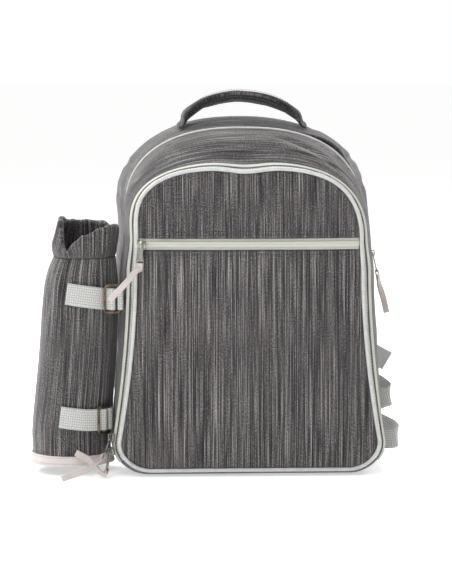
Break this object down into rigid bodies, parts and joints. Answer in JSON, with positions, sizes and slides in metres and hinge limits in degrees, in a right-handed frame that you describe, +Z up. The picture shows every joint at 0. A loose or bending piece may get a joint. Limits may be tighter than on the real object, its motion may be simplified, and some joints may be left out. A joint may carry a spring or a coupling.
{
  "type": "cooler backpack",
  "caption": "Insulated picnic backpack with zipped compartments, front pocket, carry handle, shoulder straps and a detachable bottle sleeve held on its side by webbing.",
  "frame": {"origin": "on the ground under the middle of the whole thing's box", "axes": "+Z up, the bag's front faces -Y and its back panel +Y, the bottle sleeve is at -X"},
  "size_m": [0.4502, 0.2634, 0.4447],
  "materials": {
    "charcoal_cloth": "heathered charcoal canvas, matt",
    "pale_trim": "pale grey piping cord, matt",
    "zip_coil": "pale grey moulded coil",
    "zip_tape": "pale grey woven tape",
    "dark_zip": "black woven tape",
    "back_padding": "light grey padded mesh",
    "grey_webbing": "light grey woven webbing",
    "cream_ribbon": "pale pink-beige ribbon",
    "slider_metal": "satin nickel",
    "bronzed_metal": "antique bronze",
    "buckle_plastic": "grey moulded plastic"
  },
  "bodies": {
    "root": {"front_gusset": "charcoal_cloth", "back_gusset": "charcoal_cloth", "front_panel_upper": "charcoal_cloth", "front_panel_pocket": "charcoal_cloth", "bottle_sleeve": "charcoal_cloth", "bottle_base": "charcoal_cloth", "bottle_collar": "charcoal_cloth", "carry_handle": "charcoal_cloth", "left_pad": "charcoal_cloth", "right_pad": "charcoal_cloth", "front_piping": "pale_trim", "main_piping": "pale_trim", "back_piping": "pale_trim", "bottle_binding": "pale_trim", "pocket_zip_coil": "zip_coil", "front_zip_coil": "zip_coil", "pocket_zip_tape": "zip_tape", "front_zip_tape": "zip_tape", "main_zip_tape": "dark_zip", "back_panel": "back_padding", "upper_strap": "grey_webbing", "upper_tab": "grey_webbing", "lower_strap": "grey_webbing", "lower_tab": "grey_webbing", "left_webbing": "grey_webbing", "right_webbing": "grey_webbing", "pocket_zip_ribbon": "cream_ribbon", "front_zip_lower_ribbon": "cream_ribbon", "front_zip_upper_ribbon": "cream_ribbon", "main_zip_ribbon": "cream_ribbon", "pocket_zip_slider": "slider_metal", "pocket_zip_pull": "slider_metal", "front_zip_lower_slider": "slider_metal", "front_zip_lower_pull": "slider_metal", "front_zip_upper_slider": "slider_metal", "front_zip_upper_pull": "slider_metal", "main_zip_slider": "slider_metal", "main_zip_pull": "slider_metal", "upper_ring": "bronzed_metal", "lower_ring": "bronzed_metal", "left_buckle": "buckle_plastic", "right_buckle": "buckle_plastic"}
  },
  "joints": []
}
